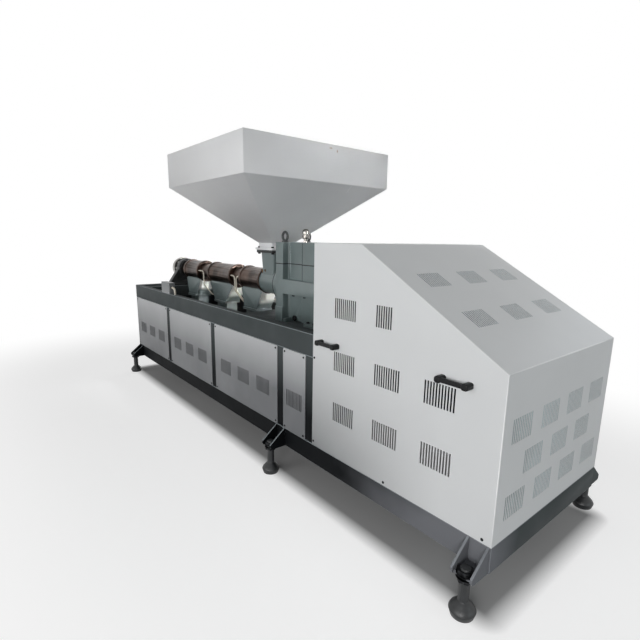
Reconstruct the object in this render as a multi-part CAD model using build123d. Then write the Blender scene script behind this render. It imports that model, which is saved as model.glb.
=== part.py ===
# Single-screw plastic extruder on a fixed channel frame, in millimetres.
# X runs along the machine from the die end (-X) to the motor housing (+X), Y from the
# operator side (-Y) to the far side, Z up from the floor. The origin is on the floor
# below the middle of the machine.
import os
from math import atan2, cos, degrees, sin, tan

from build123d import *

os.makedirs("parts", exist_ok=True)

# Channel frame
frame_width = 1000.0
floor_gap = 168.0
rail_height = 126.0
lower_rail_height = 113.0
rail_flange = 53.0
rail_web = 5.5
rail_flange_thickness = 9.0
fit_gap = 0.3

# Side panels and posts
panel_height = 500.0
panel_thickness = 2.0
panel_corner_radius = 12.0
wide_panels = 3
narrow_panel_length = 215.0
post_gap = 64.0
first_panel_inset = 30.0
panel_seam = 1.0
wide_vent_count = 3
panel_vent_pitch = 250.0
panel_vent_drop = 44.0

# Punched vents
vent_slots = 11
narrow_vent_slots = 7
slot_width = 8.0
slot_length = 100.0
slot_pitch = 14.0

# Levelling legs
leg_reach = 105.0
leg_plate_thickness = 12.0
leg_gusset_thickness = 10.0
leg_gusset_spacing = 85.0
leg_nose_height = 28.0
leg_nose_radius = 14.0
leg_foot_offset = 73.0
leg_stem_radius = 21.0
leg_stem_above_plate = 26.0
leg_nut_radius = 30.0
leg_nut_height = 16.0
foot_radius = 53.0
foot_sole_radius = 45.0
foot_widest_height = 26.0
foot_shoulder_radius = 47.0
foot_shoulder_height = 38.0
foot_neck_radius = 27.0
foot_neck_height = 60.0
foot_height = 64.0
left_leg_inset = 75.0

# Motor housing of folded sheet
housing_length = 1084.0
housing_height = 1106.0
housing_low_height = 678.0
housing_flat_length = 343.0
housing_sheet = 2.0
side_vent_shift = -16.0
side_vent_pitch = 282.0
side_vent_low_row = 250.0
side_vent_row_pitch = 271.0
narrow_vent_shift = -30.0
slope_vent_first_row = 297.0
slope_vent_row_pitch = 273.0
slope_vent_pitch = 296.0
end_vent_low_row = 134.0
end_vent_row_pitch = 156.0
end_vent_counts = (4, 3, 4)
end_vent_margin = 70.5
handle_length = 150.0
handle_reach = 42.0
handle_knob_length = 30.0
handle_knob_height = 28.0
handle_knob_radius = 11.0
handle_knob_fillet = 6.0
handle_bar_height = 19.0
handle_bar_depth = 16.0
handle_bar_fillet = 5.0
handle_bar_inset = 3.0
handle_height = 600.0
handle_front_inset = 134.0
handle_rear_inset = 205.0

# Deck and gearbox
deck_thickness = 30.0
deck_length = 1280.0
axis_above_deck = 252.5
gearbox_length = 710.0
gearbox_height = 560.0
gearbox_pad_width = 310.0
gearbox_body_width = 202.0
gearbox_pad_length = 88.0
gearbox_root_radius = 14.0
gearbox_step_start = 262.0
gearbox_step_reach = 18.0
gearbox_band_height = 100.0
gearbox_cover_height = 149.0
gearbox_foot_height = 26.0
gearbox_foot_arch = 14.0
gearbox_foot_end = 120.0
gearbox_mid_foot_start = 330.0
gearbox_mid_foot_length = 130.0
gearbox_low_pad_height = 104.0
gearbox_low_pad_reach = 8.0
gearbox_edge_radius = 4.0
sight_glass_radius = 17.0
sight_glass_reach = 14.0
sight_glass_height = 32.0
sight_glass_x = 175.0
eye_ring_radius = 30.0
eye_wire_radius = 9.0
eye_shank_radius = 12.0
eye_collar_radius = 24.0
eye_collar_height = 10.0
eye_inset_x = 40.0
eye_inset_y = 55.0
breather_radius = 25.0
breather_height = 92.0
breather_neck_radius = 13.0
breather_neck_height = 26.0
breather_x = 212.0
breather_y = -48.0
guard_length = 166.0
guard_radius = 118.0
guard_drop = 110.0

# Feed throat, screw and barrel
throat_body_radius = 97.5
throat_flange_radius = 144.0
throat_flange_thickness = 67.0
throat_rear_length = 160.0
throat_front_length = 98.0
throat_neck_low = 150.0
throat_neck_top = 174.0
throat_neck_radius = 22.0
throat_height = 240.0
throat_top_flange = 214.0
throat_top_thickness = 16.0
feed_opening = 124.0
screw_radius = 45.0
screw_clearance = 1.0
screw_tip_length = 70.0
screw_tip_radius = 8.0
screw_tip_recess = 30.0
barrel_length = 1755.0
barrel_radius = 72.0
die_inset = 35.0
die_flange_radius = 112.0
die_flange_thickness = 46.0
die_bolt_circle = 180.0
die_bolt_radius = 9.0
die_bolt_count = 8

# Heating zones, air ducts and blowers, from the die end to the feed throat
zone_lengths = (330.0, 440.0, 320.0)
zone_front_length = 279.5
zone_rear_gap = 2.5
zone_gap_share = 0.574
jacket_radius = 97.5
jacket_lip = 24.0
jacket_lip_reach = 7.0
duct_depth = 140.0
duct_top_drop = 92.0
duct_bottom_length = 190.0
duct_bottom_above_deck = 2.0
duct_bottom_shift = -26.0
duct_lip = 12.0
duct_lip_reach = 9.0
blower_radius = 150.0
blower_depth = 104.0
blower_axis_drop = 232.0
blower_inlet_radius = 62.0
blower_inlet_depth = 24.0
blower_motor_radius = 72.0
blower_motor_length = 170.0
blower_flange = 8.0

# Hopper
hopper_length = 1143.0
hopper_width = 1199.0
hopper_bin_height = 240.0
hopper_funnel_height = 404.0
hopper_outlet = 190.0
hopper_collar_height = 35.0
hopper_wall = 4.0
hopper_rim = 20.0
hopper_flange_size = 230.0
hopper_flange_thickness = 16.0
hopper_gasket = 5.0

# Fittings on the frame
support_beam_width = 120.0
support_beam_inset = 162.5
support_base_width = 420.0
support_base_height = 22.0
support_web = 60.0
support_thickness = 70.0
support_cap_radius = 104.0
tray_depth = 48.0
tray_height = 96.0
tray_end_gap = 40.0
box_length = 190.0
box_depth = 52.0
box_height = 97.0
box_inset = 850.5
box_edge_radius = 5.0
lead_radius = 5.0
lead_bend = 34.0
lead_offset = 85.0
lead_rise = 10.0
lead_spacing = 26.0
lead_low = 112.0
lead_tray_height = 60.0
conduit_radius = 9.0
conduit_bend = 40.0
conduit_run = 62.0
conduit_height = 55.0

# Levels and places worked out from the sizes above
line_length = die_inset + barrel_length + throat_front_length + throat_rear_length + throat_flange_thickness
frame_length = line_length + gearbox_length + guard_length + housing_length
left = -frame_length / 2
right = frame_length / 2
near = -frame_width / 2
far = frame_width / 2
lower_rail_top = floor_gap + lower_rail_height
upper_rail_bottom = lower_rail_top + panel_height
upper_rail_top = upper_rail_bottom + rail_height
ledge = upper_rail_bottom + rail_flange_thickness
deck_top = ledge + deck_thickness
axis_z = deck_top + axis_above_deck
housing_left = right - housing_length
housing_top = lower_rail_top + housing_height
housing_low_top = lower_rail_top + housing_low_height
slope_start = housing_left + housing_flat_length
slope_angle = atan2(housing_top - housing_low_top, right - slope_start)
gearbox_right = housing_left - guard_length
gearbox_left = gearbox_right - gearbox_length
gearbox_pad_end = gearbox_left + gearbox_pad_length
gearbox_top = deck_top + gearbox_height
parting_z = gearbox_top - gearbox_cover_height
throat_x = gearbox_left - throat_flange_thickness - throat_rear_length
throat_left = throat_x - throat_front_length
throat_top = axis_z + throat_height
hopper_flange_bottom = throat_top + hopper_gasket
collar_bottom = hopper_flange_bottom + hopper_flange_thickness
funnel_bottom = collar_bottom + hopper_collar_height
funnel_top = funnel_bottom + hopper_funnel_height
hopper_top = funnel_top + hopper_bin_height
die_face = throat_left - barrel_length
barrel_left = die_face + die_flange_thickness
support_beam_centre = left + support_beam_inset
box_centre = left + box_inset
bore_radius = screw_radius + screw_clearance
duct_top = axis_z - duct_top_drop
duct_bottom = deck_top + duct_bottom_above_deck


def block(x0, x1, y0, y1, z0, z1):
    return Pos((x0 + x1) / 2, (y0 + y1) / 2, (z0 + z1) / 2) * Box(x1 - x0, y1 - y0, z1 - z0)


def prism(points, z0, z1):
    return Pos(0, 0, z0) * extrude(make_face(Polyline(*points, close=True)), amount=z1 - z0)


def rod(x0, x1, radius, y=0.0, z=0.0):
    return Pos((x0 + x1) / 2, y, z) * Rot(0, 90, 0) * Cylinder(radius, x1 - x0)


def upright(x, y, z0, z1, radius):
    return Pos(x, y, (z0 + z1) / 2) * Cylinder(radius, z1 - z0)


def across(solid):
    return mirror(solid, about=Plane.XZ)


def save(name, *solids):
    shape = solids[0] if len(solids) == 1 else Compound(children=list(solids))
    export_step(shape, f"parts/{name}.step")


# Frame: a ring of channel, web outwards, cut into mitred rails
def channel_ring(z0, z1):
    ring = block(left, right, near, far, z0, z1)
    ring -= block(left + rail_web, right - rail_web, near + rail_web, far - rail_web,
                  z0 + rail_flange_thickness, z1 - rail_flange_thickness)
    return ring - block(left + rail_flange, right - rail_flange,
                        near + rail_flange, far - rail_flange, z0, z1)


def side_cut(x1, right_mitre):
    inner = near + rail_flange
    points = [(left, near), (x1, near), (x1 - right_mitre, inner), (left + rail_flange, inner)]
    return prism(points, floor_gap, upper_rail_top)


def end_cut(x, inward):
    inner = x + inward * rail_flange
    points = [(x, near), (inner, near + rail_flange), (inner, far - rail_flange), (x, far)]
    return prism(points, floor_gap, upper_rail_top)


def frame_rails():
    low = channel_ring(floor_gap, lower_rail_top)
    near_low = low & side_cut(right, rail_flange)
    save("near_bottom_rail", near_low)
    save("far_bottom_rail", across(near_low))
    high = channel_ring(upper_rail_bottom, upper_rail_top)
    near_high = high & side_cut(housing_left, 0.0)
    save("near_top_rail", near_high)
    save("far_top_rail", across(near_high))
    save("end_rails", low & end_cut(left, 1), low & end_cut(right, -1), high & end_cut(left, 1))


def post(x0):
    x1 = x0 + rail_height
    face = near + panel_thickness
    body = block(x0, x1, face, face + rail_flange, lower_rail_top, upper_rail_bottom)
    return body - block(x0 + rail_flange_thickness, x1 - rail_flange_thickness,
                        face + rail_web, face + rail_flange, lower_rail_top, upper_rail_bottom)


def wide_panel_length():
    gaps = first_panel_inset + (wide_panels + 1) * post_gap
    return (housing_left - left - gaps - narrow_panel_length) / wide_panels


def panel_starts():
    step = wide_panel_length() + post_gap
    return [left + first_panel_inset + index * step for index in range(wide_panels + 1)]


def frame_posts():
    starts = panel_starts()
    centres = [start - post_gap / 2 for start in starts[1:]]
    lefts = [left + panel_thickness] + [centre - rail_height / 2 for centre in centres]
    lefts.append(housing_left - rail_height)
    posts = [post(x) for x in lefts]
    save("near_posts", *posts)
    save("far_posts", *[across(solid) for solid in posts])


def cross_channel(x0, z0):
    height = lower_rail_height - 2 * rail_flange_thickness
    reach = far - rail_web
    bar = block(x0, x0 + rail_flange, -reach, reach, z0, z0 + height)
    return bar - block(x0 + rail_web, x0 + rail_flange, -reach, reach,
                       z0 + rail_flange_thickness, z0 + height - rail_flange_thickness)


def cross_beams():
    low_z = floor_gap + rail_flange_thickness
    beams = [cross_channel(start - post_gap / 2, low_z) for start in panel_starts()[1:]]
    reach = far - rail_web
    half = support_beam_width / 2
    beams.append(block(support_beam_centre - half, support_beam_centre + half, -reach, reach,
                       ledge, upper_rail_top - rail_flange_thickness))
    save("cross_beams", *beams)


def deck_plate():
    reach = far - rail_web - fit_gap
    save("deck_plate", block(housing_left - deck_length, housing_left, -reach, reach, ledge, deck_top))


# Punched vents: rows of upright slots
def vent(u, v, count=vent_slots):
    places = GridLocations(slot_pitch, slot_length, count, 1)
    return [Pos(u, v) * place * Rectangle(slot_width, slot_length) for place in places]


def panel(x0, length, vents):
    middle = x0 + length / 2
    height = panel_height - 2 * panel_seam
    z_mid = lower_rail_top + panel_height / 2
    sheet = Pos(middle, z_mid) * RectangleRounded(length, height, panel_corner_radius)
    slots = []
    for index in range(vents):
        offset = (index - (vents - 1) / 2) * panel_vent_pitch
        slots += vent(middle + offset, z_mid - panel_vent_drop)
    return extrude(Plane.XZ.offset(far - panel_thickness) * (sheet - slots), amount=panel_thickness)


def side_panels():
    sizes = [(wide_panel_length(), wide_vent_count)] * wide_panels + [(narrow_panel_length, 1)]
    for index, (start, (length, vents)) in enumerate(zip(panel_starts(), sizes), start=1):
        sheet = panel(start, length, vents)
        save(f"near_panel_{index}", sheet)
        save(f"far_panel_{index}", across(sheet))


def end_panel():
    reach = far - panel_thickness
    sheet = Pos(0, lower_rail_top + panel_height / 2) * Rectangle(2 * reach, panel_height - 2 * panel_seam)
    save("end_panel", extrude(Plane.YZ.offset(left) * sheet, amount=panel_thickness))


# Levelling legs
def leg_bracket(x):
    outer = near - leg_reach
    reach = leg_gusset_spacing / 2
    plate = block(x - reach, x + reach, outer + leg_nose_radius, near,
                  floor_gap, floor_gap + leg_plate_thickness)
    bracket = plate - upright(x, near - leg_foot_offset, floor_gap, floor_gap + leg_plate_thickness,
                              leg_stem_radius + fit_gap)
    points = [(near, floor_gap), (near, lower_rail_top)]
    points += [(outer, floor_gap + leg_nose_height), (outer, floor_gap)]
    face = make_face(Polyline(*points, close=True))
    face = fillet(face.vertices().group_by(Axis.X)[0], leg_nose_radius)
    for side in (-1, 1):
        centre = x + side * leg_gusset_spacing / 2
        plane = Plane.YZ.offset(centre - leg_gusset_thickness / 2)
        bracket += extrude(plane * face, amount=leg_gusset_thickness)
    return bracket


def levelling_foot(x):
    stem_top = floor_gap + leg_plate_thickness + leg_stem_above_plate
    nut_bottom = floor_gap - leg_nut_height
    points = [(0, 0), (foot_sole_radius, 0), (foot_radius, foot_widest_height)]
    points += [(foot_shoulder_radius, foot_shoulder_height), (foot_neck_radius, foot_neck_height)]
    points += [(leg_stem_radius, foot_height), (leg_stem_radius, nut_bottom), (leg_nut_radius, nut_bottom)]
    points += [(leg_nut_radius, floor_gap), (leg_stem_radius, floor_gap)]
    points += [(leg_stem_radius, stem_top), (0, stem_top)]
    outline = make_face(Polyline(*points, close=True))
    foot = revolve(Plane.XZ * outline, axis=Axis.Z)
    return Pos(x, near - leg_foot_offset, 0) * foot


def legs():
    mid_gap = panel_starts()[-1] - post_gap / 2
    places = [left + left_leg_inset, mid_gap, right - foot_radius]
    brackets = [leg_bracket(x) for x in places]
    feet = [levelling_foot(x) for x in places]
    save("near_leg_brackets", *brackets)
    save("far_leg_brackets", *[across(solid) for solid in brackets])
    save("near_levelling_feet", *feet)
    save("far_levelling_feet", *[across(solid) for solid in feet])


# Motor housing: two side sheets, a bent roof sheet, an end sheet and a front wall
def housing_side():
    outline = [(housing_left, lower_rail_top), (right, lower_rail_top), (right, housing_low_top)]
    outline += [(slope_start, housing_top), (housing_left, housing_top)]
    middle = (housing_left + right) / 2 + side_vent_shift
    low_row = lower_rail_top + side_vent_low_row
    top_row = low_row + 2 * side_vent_row_pitch
    slots = vent(middle - side_vent_pitch, top_row)
    slots += vent(middle + narrow_vent_shift, top_row, narrow_vent_slots)
    for row in range(2):
        for column in (-1, 0, 1):
            slots += vent(middle + column * side_vent_pitch, low_row + row * side_vent_row_pitch)
    sheet = make_face(Polyline(*outline, close=True)) - slots
    return extrude(Plane.XZ.offset(far - housing_sheet) * sheet, amount=housing_sheet)


def between_sides(points):
    reach = far - housing_sheet
    face = Plane.XZ.offset(-reach) * make_face(Polyline(*points, close=True))
    return extrude(face, amount=2 * reach)


def housing_roof():
    drop = housing_sheet / cos(slope_angle)
    bend = slope_start - housing_sheet * tan(slope_angle / 2)
    points = [(housing_left, housing_top), (slope_start, housing_top), (right, housing_low_top)]
    points += [(right, housing_low_top - drop), (bend, housing_top - housing_sheet)]
    points.append((housing_left, housing_top - housing_sheet))
    normal = (sin(slope_angle), 0, cos(slope_angle))
    slope = Plane(origin=(slope_start, 0, housing_top), x_dir=(0, 1, 0), z_dir=normal)
    slots = []
    for row in range(2):
        drop_along = slope_vent_first_row + row * slope_vent_row_pitch
        for column in (-1, 0, 1):
            slots += vent(column * slope_vent_pitch, -drop_along)
    cutters = extrude(slope * (Sketch() + slots), amount=housing_sheet, both=True)
    return between_sides(points) - cutters


def housing_end():
    drop = housing_sheet / cos(slope_angle)
    rise = housing_sheet * tan(slope_angle)
    top = housing_low_top - drop
    points = [(right - housing_sheet, lower_rail_top), (right, lower_rail_top), (right, top)]
    points.append((right - housing_sheet, top + rise))
    vent_width = (vent_slots - 1) * slot_pitch + slot_width
    pitch = (frame_width - 2 * end_vent_margin - vent_width) / (max(end_vent_counts) - 1)
    slots = []
    for row, count in enumerate(end_vent_counts):
        z = lower_rail_top + end_vent_low_row + row * end_vent_row_pitch
        for column in range(count):
            slots += vent((column - (count - 1) / 2) * pitch, z)
    cutters = extrude(Plane.YZ.offset(right) * (Sketch() + slots), amount=-housing_sheet)
    return between_sides(points) - cutters


def housing_front_wall():
    reach = far - housing_sheet
    return block(housing_left, housing_left + housing_sheet, -reach, reach,
                 lower_rail_top, housing_top - housing_sheet)


def handle(x):
    span = handle_length - handle_knob_length
    end = RectangleRounded(handle_knob_length, handle_knob_height, handle_knob_radius)
    knob = extrude(end, amount=handle_reach)
    knob = fillet(knob.faces().sort_by(Axis.Z)[-1].edges(), handle_knob_fillet)
    bar = Box(span, handle_bar_height, handle_bar_depth)
    bar = fillet(bar.edges().filter_by(Axis.X), handle_bar_fillet)
    grip = Pos(0, 0, handle_reach - handle_bar_inset - handle_bar_depth / 2) * bar
    for side in (-1, 1):
        grip += Pos(side * span / 2, 0) * knob
    return Pos(x, near, lower_rail_top + handle_height) * Rot(90, 0, 0) * grip


def housing():
    side = housing_side()
    save("housing_near_side", side)
    save("housing_far_side", across(side))
    save("housing_roof", housing_roof())
    save("housing_end", housing_end())
    save("housing_front_wall", housing_front_wall())
    handles = [handle(x) for x in (housing_left + handle_front_inset, right - handle_rear_inset)]
    save("near_handles", *handles)
    save("far_handles", *[across(solid) for solid in handles])


# Gearbox: a tall casting with a bolted front pad, a belt at the screw axis and a cover
def plan(x0, x1, width):
    return Pos((x0 + x1) / 2, 0) * Rectangle(x1 - x0, width)


def at_root(corner):
    reach = gearbox_root_radius + fit_gap
    beside_body = abs(abs(corner.Y) - gearbox_body_width / 2) < reach
    return beside_body and abs(corner.X - gearbox_pad_end) < reach


def rounded(sketch, z0, z1):
    soft = fillet([corner for corner in sketch.vertices() if not at_root(corner)], gearbox_edge_radius)
    return extrude(Pos(0, 0, z0) * soft, amount=z1 - z0)


def gearbox_slab(z0, z1):
    root = gearbox_root_radius
    centre_x = gearbox_pad_end + root
    centre_y = gearbox_body_width / 2 + root
    outline = plan(gearbox_left, gearbox_right, gearbox_body_width)
    outline += plan(gearbox_left, gearbox_pad_end, gearbox_pad_width)
    outline += plan(gearbox_pad_end, centre_x, 2 * centre_y)
    for side in (-1, 1):
        outline -= Pos(centre_x, side * centre_y) * Circle(root)
    step_width = gearbox_body_width + 2 * gearbox_step_reach
    outline += plan(gearbox_left + gearbox_step_start, gearbox_right, step_width)
    return rounded(outline, z0, z1)


def gearbox_case():
    case = gearbox_slab(deck_top, parting_z)
    band = gearbox_band_height / 2
    belt = plan(gearbox_left, gearbox_right, gearbox_pad_width)
    case += rounded(belt, axis_z - band, axis_z + band)
    low_width = gearbox_pad_width + 2 * gearbox_low_pad_reach
    low_pad = plan(gearbox_left, gearbox_pad_end, low_width)
    case += rounded(low_pad, deck_top, deck_top + gearbox_low_pad_height)
    mid_foot = gearbox_left + gearbox_mid_foot_start
    feet = [(gearbox_left, gearbox_left + gearbox_foot_end), (mid_foot, mid_foot + gearbox_mid_foot_length)]
    feet.append((gearbox_right - gearbox_foot_end, gearbox_right))
    for x0, x1 in feet:
        case += rounded(plan(x0, x1, gearbox_pad_width), deck_top, deck_top + gearbox_foot_height)
    for foot, following in zip(feet, feet[1:]):
        case -= block(foot[1], following[0], -low_width, low_width, deck_top, deck_top + gearbox_foot_arch)
    glass_y = gearbox_body_width / 2 + sight_glass_reach
    place = Pos(gearbox_left + sight_glass_x, 0, deck_top + sight_glass_height)
    return case + place * Rot(90, 0, 0) * Cylinder(sight_glass_radius, 2 * glass_y)


def gearbox_cover():
    return gearbox_slab(parting_z, gearbox_top)


def eye_bolt(x, y):
    ring_z = gearbox_top + eye_collar_height + eye_ring_radius
    ring = Pos(x, y, ring_z) * Rot(90, 0, 0) * Torus(eye_ring_radius, eye_wire_radius)
    collar = upright(x, y, gearbox_top, gearbox_top + eye_collar_height, eye_collar_radius)
    shank = upright(x, y, gearbox_top, gearbox_top + eye_collar_height, eye_shank_radius)
    return ring + collar + shank


def breather():
    x = gearbox_left + breather_x
    neck_top = gearbox_top + breather_neck_height
    neck = upright(x, breather_y, gearbox_top, neck_top, breather_neck_radius)
    cap = upright(x, breather_y, neck_top, gearbox_top + breather_height, breather_radius)
    cap = fillet(cap.edges().sort_by(Axis.Z)[-1], breather_radius / 2)
    return neck + cap


def coupling_guard():
    centre = parting_z
    low = centre - guard_drop
    hood = rod(gearbox_right, housing_left, guard_radius, 0, centre)
    hood += block(gearbox_right, housing_left, -guard_radius, guard_radius, low, centre)
    return hood


def gearbox():
    save("gearbox_case", gearbox_case())
    save("gearbox_cover", gearbox_cover())
    near_eye = eye_bolt(gearbox_left + eye_inset_x, eye_inset_y - gearbox_pad_width / 2)
    save("gearbox_eye_bolts", near_eye, across(near_eye))
    save("gearbox_breather", breather())
    save("coupling_guard", coupling_guard())


# Feed throat, screw and barrel
def feed_throat():
    flange_left = gearbox_left - throat_flange_thickness
    body = rod(throat_left, flange_left, throat_body_radius, 0, axis_z)
    body += rod(flange_left, gearbox_left, throat_flange_radius, 0, axis_z)
    top = throat_top - throat_top_thickness
    low = Pos(throat_x, 0, axis_z) * RectangleRounded(throat_neck_low, throat_neck_low, throat_neck_radius)
    high = Pos(throat_x, 0, top) * RectangleRounded(throat_neck_top, throat_neck_top, throat_neck_radius)
    body += loft(Sketch() + [low, high])
    half = throat_top_flange / 2
    body += block(throat_x - half, throat_x + half, -half, half, top, throat_top)
    body -= rod(throat_left, gearbox_left, bore_radius, 0, axis_z)
    mouth = feed_opening / 2
    return body - block(throat_x - mouth, throat_x + mouth, -mouth, mouth, axis_z, throat_top)


def screw():
    tip = die_face + screw_tip_recess
    shoulder = tip + screw_tip_length
    outline = [(tip, 0), (tip, screw_tip_radius), (shoulder, screw_radius)]
    outline += [(gearbox_left, screw_radius), (gearbox_left, 0)]
    profile = make_face(Polyline(*outline, close=True))
    return Pos(0, 0, axis_z) * revolve(profile, axis=Axis.X)


def barrel():
    tube = rod(barrel_left, throat_left, barrel_radius, 0, axis_z)
    return tube - rod(barrel_left, throat_left, bore_radius, 0, axis_z)


def die_flange():
    ring = rod(die_face, barrel_left, die_flange_radius, 0, axis_z)
    ring -= rod(die_face, barrel_left, bore_radius, 0, axis_z)
    centre = Location(((die_face + barrel_left) / 2, 0, axis_z), (0, 90, 0))
    holes = centre * PolarLocations(die_bolt_circle / 2, die_bolt_count)
    return ring - [place * Cylinder(die_bolt_radius, die_flange_thickness) for place in holes]


def heating_zones():
    free = barrel_length - zone_front_length - zone_rear_gap - sum(zone_lengths)
    first_gap = free * zone_gap_share
    zones = []
    start = die_face + zone_front_length
    for length, gap in zip(zone_lengths, (first_gap, free - first_gap, zone_rear_gap)):
        zones.append((start + length / 2, length))
        start += length + gap
    return zones


def jacket_outside(centre, length, gap):
    half = length / 2
    skin = rod(centre - half, centre + half, jacket_radius + gap, 0, axis_z)
    lip = jacket_lip + gap
    for start in (centre - half, centre + half - lip):
        skin += rod(start, start + lip, jacket_radius + jacket_lip_reach + gap, 0, axis_z)
    return skin


def jacket(centre, length):
    half = length / 2
    bore = rod(centre - half, centre + half, barrel_radius + fit_gap, 0, axis_z)
    return jacket_outside(centre, length, 0) - bore


def air_duct(centre, length):
    depth = duct_depth / 2
    foot = centre + duct_bottom_shift
    low = Pos(foot, 0, duct_bottom) * Rectangle(duct_bottom_length, duct_depth)
    high = Pos(centre, 0, duct_top) * Rectangle(length, duct_depth)
    duct = loft(Sketch() + [low, high])
    half = duct_bottom_length / 2 + duct_lip_reach
    reach = depth + duct_lip_reach
    duct += block(foot - half, foot + half, -reach, reach, duct_bottom, duct_bottom + duct_lip)
    duct += block(centre - length / 2, centre + length / 2, -depth, depth, duct_top, axis_z)
    return duct - jacket_outside(centre, length, fit_gap)


def blower(centre):
    axis = duct_bottom - blower_axis_drop
    half = duct_bottom_length / 2
    scroll = Circle(blower_radius)
    mouth = Rectangle(duct_bottom_length, blower_axis_drop)
    scroll += Pos(half - blower_radius, blower_axis_drop / 2) * mouth
    plane = Plane.XZ.offset(-blower_depth / 2)
    middle = centre + blower_radius - half
    casing = Pos(middle, 0, axis) * extrude(plane * scroll, amount=blower_depth)
    inlet_y = -blower_depth / 2
    inlet = Pos(middle, inlet_y, axis) * Rot(90, 0, 0) * Cylinder(blower_inlet_radius, 2 * blower_inlet_depth)
    motor_y = (blower_depth + blower_motor_length) / 2
    motor = Pos(middle, motor_y, axis) * Rot(90, 0, 0) * Cylinder(blower_motor_radius, blower_motor_length)
    reach = duct_depth / 2 + duct_lip_reach
    flange = block(centre - half - duct_lip_reach, centre + half + duct_lip_reach, -reach, reach,
                   duct_bottom - blower_flange, duct_bottom)
    return casing - inlet + motor + flange


def extrusion_line():
    save("feed_throat", feed_throat())
    save("screw", screw())
    save("barrel", barrel())
    save("die_flange", die_flange())
    zones = heating_zones()
    save("heater_jackets", *[jacket(centre, length) for centre, length in zones])
    save("air_ducts", *[air_duct(centre, length) for centre, length in zones])
    save("cooling_blowers", *[blower(centre + duct_bottom_shift) for centre, length in zones])


# Hopper: a sheet bin on a square funnel
def tapered(outlet, length, width, z0, z1):
    return loft(Sketch() + [Pos(throat_x, 0, z0) * Rectangle(outlet, outlet),
                            Pos(throat_x, 0, z1) * Rectangle(length, width)])


def column(length, width, z0, z1):
    return Pos(throat_x, 0, (z0 + z1) / 2) * Box(length, width, z1 - z0)


def hopper():
    wall = 2 * hopper_wall
    shell = column(hopper_outlet, hopper_outlet, collar_bottom, funnel_bottom)
    shell += tapered(hopper_outlet, hopper_length, hopper_width, funnel_bottom, funnel_top)
    shell += column(hopper_length, hopper_width, funnel_top, hopper_top)
    bore = hopper_outlet - wall
    shell -= column(bore, bore, collar_bottom, funnel_bottom)
    shell -= tapered(bore, hopper_length - wall, hopper_width - wall, funnel_bottom, funnel_top)
    rim_bottom = hopper_top - hopper_wall
    shell -= column(hopper_length - wall, hopper_width - wall, funnel_top, rim_bottom)
    rim = 2 * hopper_rim
    return shell - column(hopper_length - rim, hopper_width - rim, rim_bottom, hopper_top)


def hopper_flange():
    plate = column(hopper_flange_size, hopper_flange_size, hopper_flange_bottom, collar_bottom)
    return plate - column(feed_opening, feed_opening, hopper_flange_bottom, collar_bottom)


def hopper_gasket_ring():
    ring = column(throat_top_flange, throat_top_flange, throat_top, hopper_flange_bottom)
    return ring - column(feed_opening, feed_opening, throat_top, hopper_flange_bottom)


# Fittings: front barrel support, cable tray, terminal box and heater leads
def barrel_support():
    low = upper_rail_top - rail_flange_thickness
    half = support_thickness / 2
    x = support_beam_centre
    base = support_base_width / 2
    base_top = low + support_base_height
    stand = block(x - half, x + half, -base, base, low, base_top)
    points = [(-base, base_top), (base, base_top)]
    points += [(support_cap_radius, axis_z), (-support_cap_radius, axis_z)]
    web = make_face(Polyline(*points, close=True))
    stand += extrude(Plane.YZ.offset(x - support_web / 2) * web, amount=support_web)
    stand += rod(x - half, x + half, support_cap_radius, 0, axis_z)
    return stand - rod(x - half, x + half, barrel_radius + fit_gap, 0, axis_z)


def cable_tray():
    back = far - rail_web
    x0 = support_beam_centre + support_beam_width / 2 + tray_end_gap
    x1 = housing_left - deck_length - tray_end_gap
    return block(x0, x1, back - tray_depth, back, ledge, ledge + tray_height)


def terminal_box():
    half = box_length / 2
    case = block(box_centre - half, box_centre + half, near, near + box_depth,
                 upper_rail_top, upper_rail_top + box_height)
    return fillet(case.edges().filter_by(Axis.Z), box_edge_radius)


def tube(points, radius, bend):
    path = FilletPolyline(*points, radius=bend)
    return sweep(Plane(path @ 0, z_dir=path % 0) * Circle(radius), path=path)


def heater_lead(x, across_x):
    tray_face = far - rail_web - tray_depth
    points = [(x, -lead_offset, axis_z + lead_rise), (across_x, -lead_offset, axis_z + lead_rise)]
    points += [(across_x, -lead_offset, axis_z - lead_low), (across_x, 0, ledge + lead_tray_height)]
    points.append((across_x, tray_face, ledge + lead_tray_height))
    return tube(points, lead_radius, min(lead_bend, abs(across_x - x)))


def box_conduit():
    x = box_centre + box_length / 2
    y = near + rail_flange / 2
    z = upper_rail_top + conduit_height
    points = [(x, y, z), (x + conduit_run, y, z), (x + conduit_run, y, upper_rail_top)]
    return tube(points, conduit_radius, conduit_bend)


def wiring():
    starts = [centre - length / 2 for centre, length in heating_zones()]
    ends = [centre + length / 2 for centre, length in heating_zones()]
    leads = [heater_lead(ends[0], (ends[0] + starts[1]) / 2)]
    middle = (ends[1] + starts[2]) / 2
    leads.append(heater_lead(ends[1], middle - lead_spacing / 2))
    leads.append(heater_lead(starts[2], middle + lead_spacing / 2))
    save("wiring_leads", *leads, box_conduit())


def fittings():
    save("hopper", hopper())
    save("hopper_flange", hopper_flange())
    save("hopper_gasket", hopper_gasket_ring())
    save("barrel_support", barrel_support())
    save("cable_tray", cable_tray())
    save("terminal_box", terminal_box())


frame_rails()
frame_posts()
cross_beams()
deck_plate()
side_panels()
end_panel()
legs()
housing()
gearbox()
extrusion_line()
fittings()
wiring()
print("slope angle", round(degrees(slope_angle), 2), "hopper top", round(hopper_top, 1))
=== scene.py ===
import bmesh
import bpy
from math import cos, pi, radians, sin
from mathutils import Matrix, Vector


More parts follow.
